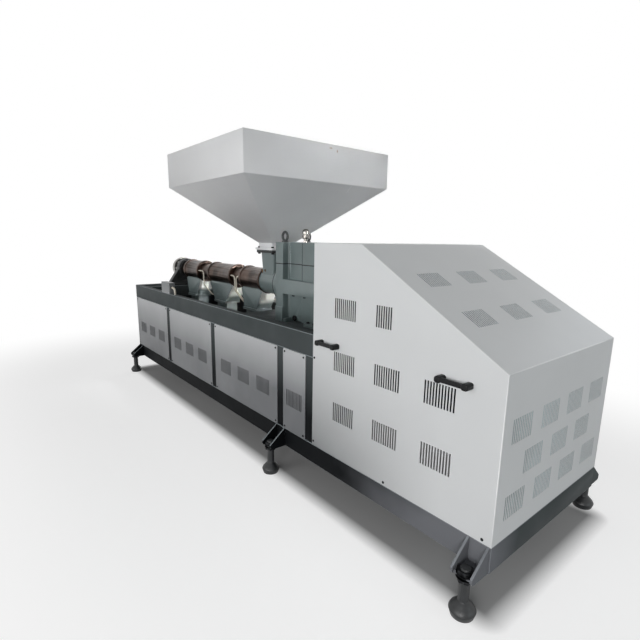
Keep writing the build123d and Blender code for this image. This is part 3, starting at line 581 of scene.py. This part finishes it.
for places, z, way in ((hexPlan["beltX"], axisZ - hexPlan["beltHalf"], down),
                       (hexPlan["footX"], gearLow.z + hexPlan["footRise"], up)):
    hexBolts += bothSides([((gearLow.x + x, -hexPlan["gearY"], z), way) for x in places])
hexBolts += [((supportX, y, supportLow.z + hexPlan["supportRise"]), up) for y in hexPlan["supportY"]]
grown("hex_bolts", hexBolts, bolts, hexHead)

# A ring of larger bolts holds the throat to the gearbox
throatRing = {"flange": 0.067, "radius": 0.121, "count": 8}
throatBolts = []
for k in range(throatRing["count"]):
    angle = 2 * pi * (k + 0.5) / throatRing["count"]
    place = (gearLow.x - throatRing["flange"], throatRing["radius"] * cos(angle),
             axisZ + throatRing["radius"] * sin(angle))
    throatBolts.append((place, leftWay))
grown("throat_flange_bolts", throatBolts, bolts, {
    **hexHead, "Head Radius": 14 * mm, "Head Height": 11 * mm, "Washer Radius": 17 * mm, "Seed": 4})

# Small screws through the lip under each duct
ductPlan = {"lip": 13 * mm, "inset": 4.8 * mm, "y": (-0.06, 0.0, 0.06)}
ductScrews = []
for group in lumps("air_ducts"):
    foot = min(c.z for c in group)
    low, high = span([c for c in group if c.z < foot + ductPlan["lip"]])
    ductScrews += [((x, y, high.z), up) for x in (low.x + ductPlan["inset"], high.x - ductPlan["inset"])
                   for y in ductPlan["y"]]
grown("duct_screws", ductScrews, bolts, {
    **hexHead, "Head Radius": 4 * mm, "Head Height": 3.5 * mm, "Washer Radius": 4.6 * mm,
    "Washer Height": 0.8 * mm, "Material": zincPlate})

# Lock nuts above and below each leg plate
legPlate = {"topZ": 0.180, "lowZ": 0.168}
stemNuts = []
for group in lumps("near_levelling_feet") + lumps("far_levelling_feet"):
    low, high = span(group)
    stem = (low + high) / 2
    stemNuts += [((stem.x, stem.y, legPlate["topZ"]), up), ((stem.x, stem.y, legPlate["lowZ"]), down)]
grown("leg_lock_nuts", stemNuts, bolts, {
    "Head Radius": 34.5 * mm, "Head Height": 16 * mm, "Sides": 6, "Crown": 0.9, "Washer Radius": 36 * mm,
    "Washer Height": 2 * mm, "Seed": 2, "Material": blackOxide})

# Terminal box: four lid screws on the operator face
boxLow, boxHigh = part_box("terminal_box")
lidInset = 12 * mm
lidScrews = [((x, boxLow.y, z), nearWay) for x in (boxLow.x + lidInset, boxHigh.x - lidInset)
             for z in (boxLow.z + lidInset, boxHigh.z - lidInset)]
grown("terminal_box_screws", lidScrews, bolts, {
    "Head Radius": 4 * mm, "Head Height": 2.5 * mm, "Sides": 12, "Crown": 0.6, "Washer Radius": 5.2 * mm,
    "Washer Height": 0.8 * mm, "Seed": 6, "Material": zincPlate})


# Turned fittings: a profile of radius and height in millimetres, swept round each facing
def turnedFitting(name, profile, places, material, sides):
    corners, faces = [], []
    for place, facing in places:
        stand = Vector(facing).to_track_quat("Z", "Y").to_matrix()
        base = len(corners)
        for radius, along in profile:
            for k in range(sides):
                angle = 2 * pi * k / sides
                offset = Vector((radius * mm * cos(angle), radius * mm * sin(angle), along * mm))
                corners.append(Vector(place) + stand @ offset)
        for row in range(len(profile) - 1):
            for k in range(sides):
                a, b = base + row * sides + k, base + row * sides + (k + 1) % sides
                faces.append((a, b, b + sides, a + sides))
        faces.append(tuple(base + (len(profile) - 1) * sides + k for k in range(sides)))
        faces.append(tuple(base + k for k in reversed(range(sides))))
    piece = meshPiece(name, corners, faces, material)
    piece.data.shade_smooth()
    piece.data.set_sharp_from_angle(angle=radians(30))
    return piece


# Breather: hexagonal neck under a ringed cap
breatherLow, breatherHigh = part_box("gearbox_breather")
breatherFoot = (*((breatherLow + breatherHigh) / 2).xy, breatherLow.z)
breather = turnedFitting("gearbox_breather_dressed", [
    (13, 0), (13, 22), (20, 24), (24, 28), (24.6, 34), (24.6, 48), (21.5, 50), (21.5, 55), (24.6, 57),
    (24.6, 70), (23, 78), (18, 86), (10, 91), (2, 92)],
    [(breatherFoot, up)], nickelPlate, 36)
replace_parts(breather, "gearbox_breather")
grown("breather_nut", [(breatherFoot, up)], bolts, {
    **hexHead, "Head Radius": 19 * mm, "Head Height": 13 * mm, "Washer Radius": 20 * mm,
    "Material": nickelPlate})

# Oil sight glass in a dark bezel on both flanks
sightGlass = {"x": 0.175, "y": 0.115, "rise": 0.032}
glassSpot = ((gearLow.x + sightGlass["x"], -sightGlass["y"], gearLow.z + sightGlass["rise"]), nearWay)
turnedFitting("sight_glass_bezels", [(20, -6), (20, 3), (18, 5), (13.5, 5), (12.5, 2), (2, 2)],
              bothSides([glassSpot]), blackOxide, 32)

# Painted shade: a dark rubber ring round the throat flange's rim, where its edge throws a shadow line
throatShadeRing = {"profile": [(144.9, -3.0), (144.9, 3.0)], "back": 0.060}
turnedFitting("throat_flange_shade_ring", throatShadeRing["profile"],
              [((gearLow.x - throatShadeRing["back"], 0.0, axisZ), leftWay)], blackRubberAndShade, 64)


# Sealing bead in the joint of the gearbox: the cover's outline near its foot, swept by a small section
def jointBead(name, source, bead, material):
    work = mergedCopy(source)
    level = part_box(source)[0].z
    bmesh.ops.bisect_plane(work, geom=work.verts[:] + work.edges[:] + work.faces[:],
                           plane_co=(0, 0, level + bead["cutMm"] * mm), plane_no=up, clear_inner=True,
                           clear_outer=True)
    start = max(work.verts, key=lambda corner: corner.co.x)
    path, before = [start], None
    while True:
        here = path[-1]
        ahead = [line.other_vert(here) for line in here.link_edges if line.other_vert(here) != before][0]
        if ahead == start:
            break
        path.append(ahead)
        before = here
    outline = [corner.co.xy for corner in path]
    work.free()
    count, size = len(outline), len(bead["section"])
    if sum(outline[k].cross(outline[(k + 1) % count]) for k in range(count)) < 0:
        outline.reverse()
    corners, faces = [], []
    for k, point in enumerate(outline):
        way = (outline[(k + 1) % count] - outline[k - 1]).normalized()
        corners += [(point.x + way.y * out * mm, point.y - way.x * out * mm, level + z * mm)
                    for out, z in bead["section"]]
        base, following = k * size, (k + 1) % count * size
        for row in range(size):
            after = (row + 1) % size
            faces.append((base + row, following + row, following + after, base + after))
    return meshPiece(name, corners, faces, material)


coverBead = {"cutMm": 6, "section": [(0.8, -3.2), (0.8, 3.2), (-6, 3.2), (-6, -3.2)]}
jointBead("gearbox_joint_bead", "gearbox_cover", coverBead, blackRubberAndShade)


# Thin flat strips and mats: a middle and three half-lengths each
def strips(name, rows, material):
    signs = [(a, b, c) for a in (-1, 1) for b in (-1, 1) for c in (-1, 1)]
    sides = [(0, 1, 3, 2), (4, 6, 7, 5), (0, 4, 5, 1), (2, 3, 7, 6), (0, 2, 6, 4), (1, 5, 7, 3)]
    corners, faces = [], []
    for middle, across, along, through in rows:
        faces += [tuple(k + len(corners) for k in side) for side in sides]
        corners += [Vector(middle) + a * Vector(across) + b * Vector(along) + c * Vector(through)
                    for a, b, c in signs]
    piece = meshPiece(name, corners, faces, material)
    work = bmesh.new()
    work.from_mesh(piece.data)
    bmesh.ops.recalc_face_normals(work, faces=work.faces)
    work.to_mesh(piece.data)
    work.free()


# Painted shade: a dark strip down the step of the gearbox flank, where the step's edge throws a shadow line
stepShadeLine = {"x": gearLow.x + 0.2685, "y": 0.119, "lowZ": axisZ + 0.05, "topZ": 1.376, "halfWidth": 2.6 * mm,
            "halfDepth": 0.5 * mm}
strips("gearbox_step_shade_lines", [
    ((stepShadeLine["x"], side * stepShadeLine["y"], (stepShadeLine["lowZ"] + stepShadeLine["topZ"]) / 2),
     (stepShadeLine["halfWidth"], 0, 0), (0, stepShadeLine["halfDepth"], 0),
     (0, 0, (stepShadeLine["topZ"] - stepShadeLine["lowZ"]) / 2)) for side in (-1, 1)], blackRubberAndShade)

# Black strips round the edges of the throat's top flange, darkening it under the hopper flange
flangeDarkBand = {"reach": 107 * mm, "z": throatHigh.z - 8.5 * mm, "half": 7 * mm, "skin": 0.6 * mm}
flangeDarkBandRows = []
for way in (-1, 1):
    flangeDarkBandRows.append(((flangeMiddle.x + way * flangeDarkBand["reach"], 0, flangeDarkBand["z"]), (flangeDarkBand["skin"], 0, 0),
                     (0, flangeDarkBand["reach"] + flangeDarkBand["skin"], 0), (0, 0, flangeDarkBand["half"])))
    flangeDarkBandRows.append(((flangeMiddle.x, way * flangeDarkBand["reach"], flangeDarkBand["z"]), (flangeDarkBand["reach"], 0, 0),
                     (0, flangeDarkBand["skin"], 0), (0, 0, flangeDarkBand["half"])))
strips("throat_top_dark_band", flangeDarkBandRows, blackRubberAndShade)

# Filter mats behind the end and roof vents, clear of the sheets
filterMat = {"behind": 4.0 * mm, "half": 1.5 * mm, "endZ": 0.571, "endHalf": (0.455, 0.222),
             "roofDrop": 0.4335, "roofHalf": (0.39, 0.2)}
endSpot = (Vector((endX, 0.0, filterMat["endZ"])), Vector(up), Vector((1, 0, 0)), filterMat["endHalf"])
roofSpot = (roofBend + roofFall * filterMat["roofDrop"], roofFall, roofOut, filterMat["roofHalf"])
matRows = [(middle - out * filterMat["behind"], (0, half[0], 0), along * half[1], out * filterMat["half"])
           for middle, along, out, half in (endSpot, roofSpot)]
strips("vent_filter_mats", matRows, filterFleece)

# Brass water nipples on the throat, ridged for hose
nipple = {"x": (0.028, 0.075), "tilt": radians(48), "radius": 0.0955}
nippleWay = Vector((0.0, -cos(nipple["tilt"]), sin(nipple["tilt"])))
nippleSpots = [(Vector((throatLow.x + x, 0.0, axisZ)) + nipple["radius"] * nippleWay, nippleWay)
               for x in nipple["x"]]
turnedFitting("throat_water_nipples", [
    (9, -4), (9, 3), (7, 3.5), (7, 12), (8.6, 13), (6.6, 18), (8.6, 19), (6.6, 24), (8.6, 25), (6.2, 31),
    (4.4, 31.5), (4.4, 20), (1, 20)], nippleSpots, tarnishedBrass, 20)
grown("nipple_nuts", nippleSpots, bolts, {
    **hexHead, "Head Radius": 11.5 * mm, "Head Height": 8 * mm, "Washer Radius": 12.5 * mm,
    "Washer Height": 1.2 * mm, "Material": tarnishedBrass})
print("fittings made")


# Screw: a helical flight swept along the shaft by rule
def flightRule():
    tree, given = startRule("screwFlight", {"Length": 2.0, "Turns": 22.0, "Core Radius": 0.035,
                            "Flight Radius": 0.045, "Land": 0.009, "Resolution": 26})
    radii = {0: given["Flight Radius"], 1: given["Core Radius"]}
    total = addNode(tree, "ShaderNodeMath", links=radii, operation="ADD")
    midway = addNode(tree, "ShaderNodeMath", {1: 0.5}, {0: total}, operation="MULTIPLY")
    depth = addNode(tree, "ShaderNodeMath", links=radii, operation="SUBTRACT")
    helix = addNode(tree, "GeometryNodeCurveSpiral", links={"Resolution": given["Resolution"],
                    "Rotations": given["Turns"], "Start Radius": midway, "End Radius": midway,
                    "Height": given["Length"]})
    level = addNode(tree, "GeometryNodeSetCurveNormal", links={"Curve": helix}, mode="Z_UP")
    blade = addNode(tree, "GeometryNodeCurvePrimitiveQuadrilateral", links={
        "Width": depth, "Height": given["Land"]})
    flight = addNode(tree, "GeometryNodeCurveToMesh", {"Fill Caps": True}, {
        "Curve": level, "Profile Curve": blade})
    core = addNode(tree, "GeometryNodeMeshCylinder", {"Vertices": 40}, {"Radius": given["Core Radius"],
                   "Depth": given["Length"]})
    half = addNode(tree, "ShaderNodeMath", {1: 0.5}, {0: given["Length"]}, operation="MULTIPLY")
    lift = addNode(tree, "ShaderNodeCombineXYZ", links={"Z": half})
    shaft = addNode(tree, "GeometryNodeTransform", links={"Geometry": core, "Translation": lift})
    return endRule(tree, given, joined(tree, (shaft, flight)))


screwLead = 90 * mm
screwSpec = {"Length": screwHigh.x - screwLow.x, "Turns": (screwHigh.x - screwLow.x) / screwLead,
             "Core Radius": 33 * mm, "Flight Radius": 44.6 * mm, "Land": 9 * mm, "Resolution": 24,
             "Material": groundSteel}
screw = grown("screw_dressed", [], flightRule(), screwSpec)
screw.data.transform(Matrix.Translation((screwLow.x, 0, axisZ)) @ Matrix.Rotation(radians(90), 4, "Y"))
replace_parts(screw, "screw")


# Blowers: a wire guard over each inlet and cooling fins round each motor
def guardRule():
    tree, given = startRule("wireGuard", {"Radius": 0.066, "Wire": 0.0016, "Spokes": 8})
    wheel = addNode(tree, "GeometryNodeMeshCircle", links={"Vertices": given["Spokes"],
                    "Radius": given["Radius"]}, fill_type="TRIANGLE_FAN")
    loops = [addNode(tree, "GeometryNodeMeshToCurve", links={0: wheel})]
    for share in (0.28, 0.46, 0.64, 0.82, 1.0):
        size = addNode(tree, "ShaderNodeMath", {1: share}, {0: given["Radius"]}, operation="MULTIPLY")
        loops.append(addNode(tree, "GeometryNodeCurvePrimitiveCircle", {"Resolution": 28}, {"Radius": size}))
    wire = addNode(tree, "GeometryNodeCurvePrimitiveCircle", {"Resolution": 5}, {"Radius": given["Wire"]})
    guard = addNode(tree, "GeometryNodeCurveToMesh", {"Fill Caps": True}, {"Curve": joined(tree, loops),
                    "Profile Curve": wire})
    return endRule(tree, given, guard, facingTurn(tree))


def finRule():
    tree, given = startRule("motorFins", {"Radius": 0.072, "Length": 0.12, "Fin Height": 0.012,
                                          "Fin Thickness": 0.003, "Count": 28})
    seats = addNode(tree, "GeometryNodeMeshCircle", links={"Vertices": given["Count"],
                    "Radius": given["Radius"]})
    size = addNode(tree, "ShaderNodeCombineXYZ", links={"X": given["Fin Height"], "Y": given["Fin Thickness"],
                   "Z": given["Length"]})
    fin = addNode(tree, "GeometryNodeMeshCube", links={"Size": size})
    outwards = addNode(tree, "FunctionNodeAlignRotationToVector", links={
        "Vector": addNode(tree, "GeometryNodeInputPosition")}, axis="X")
    wreath = addNode(tree, "GeometryNodeInstanceOnPoints", links={"Points": seats, "Instance": fin,
                     "Rotation": outwards})
    return endRule(tree, given, wreath, facingTurn(tree))


blowerPlan = {"motorFrom": 0.2, "guardY": -0.0525, "finY": 0.145}
guards, fins = [], []
for group in lumps("cooling_blowers"):
    low, high = span([c for c in group if c.y > blowerPlan["motorFrom"]])
    motor = (low + high) / 2
    guards.append(((motor.x, blowerPlan["guardY"], motor.z), nearWay))
    fins.append(((motor.x, blowerPlan["finY"], motor.z), farWay))
grown("blower_guards", guards, guardRule(), {
    "Radius": 66 * mm, "Wire": 1.6 * mm, "Spokes": 8, "Material": zincPlate})
grown("blower_motor_fins", fins, finRule(), {
    "Radius": 74 * mm, "Length": 120 * mm, "Fin Height": 14 * mm, "Fin Thickness": 3 * mm, "Count": 30,
    "Material": machineEnamel})
print("details grown")

# Camera at the photograph's place, found from the machine's straight edges
camera = {"place": (2.7436, -1.92607, 1.4091), "turn": 50.58, "dip": 11.52, "roll": 0.89, "lens": 24.765,
          "sensor": 36.0, "shiftY": 0.01286, "clipEnd": 100.0}
eye = bpy.data.cameras.new("eye")
eye.lens = camera["lens"]
eye.sensor_width = camera["sensor"]
eye.sensor_fit = "HORIZONTAL"
eye.shift_y = camera["shiftY"]
eye.clip_end = camera["clipEnd"]
eyeHolder = bpy.data.objects.new("eye", eye)
bpy.context.scene.collection.objects.link(eyeHolder)
aim = Matrix.Rotation(radians(camera["turn"]), 4, "Z") @ Matrix.Rotation(radians(90 - camera["dip"]), 4, "X")
aim @= Matrix.Rotation(radians(camera["roll"]), 4, "Z")
eyeHolder.matrix_world = Matrix.Translation(camera["place"]) @ aim
bpy.context.scene.camera = eyeHolder
bpy.context.scene.view_settings.view_transform = "Standard"

# Studio: a wall of window light on the operator side, a doorway by the motor end, weak fills round the back
lamps = {
    "windows": {"place": (-0.6, -6.5, 2.4), "aim": (-0.4, 0.0, 1.9), "size": (9.0, 3.0),
                "watts": 54, "spread": 64},
    "doorway": {"place": (3.9, -4.2, 1.3), "aim": (1.9, -0.5, 0.4), "size": (1.8, 1.8),
                "watts": 22, "spread": 100},
    "endWindow": {"place": (8.0, 1.0, 1.9), "aim": (0.5, 0.0, 1.2), "size": (5.0, 3.0), "watts": 25.5,
                  "spread": 120, "tint": "#EDFBFF"},
    "hopperWindow": {"place": (5.0, 1.6, 5.2), "aim": (0.42, 0.14, 1.66), "size": (0.8, 0.8), "watts": 1.0,
                     "spread": 10},
    "farFill": {"place": (-0.2, 7.5, 3.2), "aim": (0.0, 0.5, 0.8), "size": (9.0, 3.0),
                "watts": 16, "spread": 90},
    "ductWindow": {"place": (6.0, 3.5, 2.2), "aim": (-0.8, 0.0, 1.0), "size": (0.8, 0.8),
                   "watts": 2.0, "spread": 8},
    "backWindow": {"place": (1.9, 6.0, 3.1), "aim": (1.98, 0.35, 0.99), "size": (0.9, 0.9), "watts": 0.2,
                   "spread": 30, "tint": "#E8F4FF"},
    "deckWindow": {"place": (1.4, -6.0, 1.0), "aim": (0.15, -0.25, 1.55), "size": (1.0, 1.0), "watts": 0.4,
                   "spread": 13},
    "backFill": {"place": (-4.5, 5.5, 1.1), "aim": (-0.8, 0.3, 0.9), "size": (6.0, 2.0),
                 "watts": 45, "spread": 120},
}
for name, lamp in lamps.items():
    light = bpy.data.lights.new(name, "AREA")
    light.shape = "RECTANGLE"
    light.size, light.size_y = lamp["size"]
    light.energy = lamp["watts"]
    light.color = hexColour(lamp.get("tint", "#FFFFFF"))[:3]
    light.spread = radians(lamp["spread"])
    holder = bpy.data.objects.new(name, light)
    bpy.context.scene.collection.objects.link(holder)
    holder.location = lamp["place"]
    holder.rotation_euler = (Vector(lamp["aim"]) - Vector(lamp["place"])).to_track_quat("-Z", "Y").to_euler()

studio = {"horizon": 0.5, "zenith": 0.08, "floorBounce": "#555555", "floorSeen": 0.5, "floorLift": 0.62,
          "underMachine": 0.1, "fadeStart": 0.6, "fadeEnd": 2.6, "floorReach": 40.0}


def seenRays(tree):
    rays = addNode(tree, "ShaderNodeLightPath").outputs
    seen = addNode(tree, "ShaderNodeMath", links={0: rays["Is Camera Ray"], 1: rays["Is Glossy Ray"]},
                   operation="MAXIMUM")
    return addNode(tree, "ShaderNodeMath", links={0: seen, 1: rays["Is Transmission Ray"]},
                   operation="MAXIMUM")


# The sky lights the machine from the horizon up and is white where it is seen
world = bpy.data.worlds.new("studio")
bpy.context.scene.world = world
world.use_nodes = True
sky = world.node_tree
sky.nodes.clear()
skySpot = addNode(sky, "ShaderNodeTexCoord").outputs["Generated"]
heading = addNode(sky, "ShaderNodeSeparateXYZ", links={0: skySpot})
dimming = addNode(sky, "ShaderNodeMapRange", {"To Min": studio["horizon"], "To Max": studio["zenith"]},
                  {"Value": heading.outputs["Z"]})
ambient = addNode(sky, "ShaderNodeBackground", {"Color": (1, 1, 1, 1)}, {"Strength": dimming})
backdrop = addNode(sky, "ShaderNodeBackground", {"Color": (1, 1, 1, 1), "Strength": 1.0})
shownSky = addNode(sky, "ShaderNodeMixShader", links={0: seenRays(sky), 1: ambient, 2: backdrop})
addNode(sky, "ShaderNodeOutputWorld", links={"Surface": shownSky})

# The floor is white where it is seen, keeps the shadow near the machine and stays dark under it
paleFloor = bpy.data.materials.new("paleFloor")
paleFloor.use_nodes = True
ground = paleFloor.node_tree
ground.nodes.clear()
floorSpot = addNode(ground, "ShaderNodeTexCoord").outputs["Object"]
folded = addNode(ground, "ShaderNodeVectorMath", links={0: floorSpot}, operation="ABSOLUTE")
outside = addNode(ground, "ShaderNodeVectorMath", {1: (cadHigh.x, skinY, 0.0)}, {0: folded},
                  operation="SUBTRACT")
beyond = addNode(ground, "ShaderNodeVectorMath", {1: (0, 0, 0)}, {0: outside}, operation="MAXIMUM")
away = addNode(ground, "ShaderNodeVectorMath", links={0: beyond}, operation="LENGTH").outputs["Value"]
lifted = addNode(ground, "ShaderNodeMapRange", {"From Max": studio["underMachine"],
                 "To Max": studio["floorLift"]}, {"Value": away})
fade = addNode(ground, "ShaderNodeMapRange", {"From Min": studio["fadeStart"], "From Max": studio["fadeEnd"]},
               {"Value": away}, interpolation_type="SMOOTHSTEP")
bounce = addNode(ground, "ShaderNodeBsdfDiffuse", {"Color": hexColour(studio["floorBounce"])})
shaded = addNode(ground, "ShaderNodeBsdfDiffuse", {"Color": (studio["floorSeen"],) * 3 + (1,)})
glow = addNode(ground, "ShaderNodeEmission", links={"Strength": lifted})
nearFloor = addNode(ground, "ShaderNodeAddShader", links={0: shaded, 1: glow})
farFloor = addNode(ground, "ShaderNodeEmission", {"Strength": 1.0})
seenFloor = addNode(ground, "ShaderNodeMixShader", links={0: fade, 1: nearFloor, 2: farFloor})
shownFloor = addNode(ground, "ShaderNodeMixShader", links={0: seenRays(ground), 1: bounce, 2: seenFloor})
addNode(ground, "ShaderNodeOutputMaterial", links={"Surface": shownFloor})
floorMesh = bpy.data.meshes.new("floor")
reach = studio["floorReach"]
floorCorners = [(-reach, -reach, 0), (reach, -reach, 0), (reach, reach, 0), (-reach, reach, 0)]
floorMesh.from_pydata(floorCorners, [], [(0, 1, 2, 3)])
floorMesh.materials.append(paleFloor)
floor = bpy.data.objects.new("floor", floorMesh)
bpy.context.scene.collection.objects.link(floor)
print("studio lit")
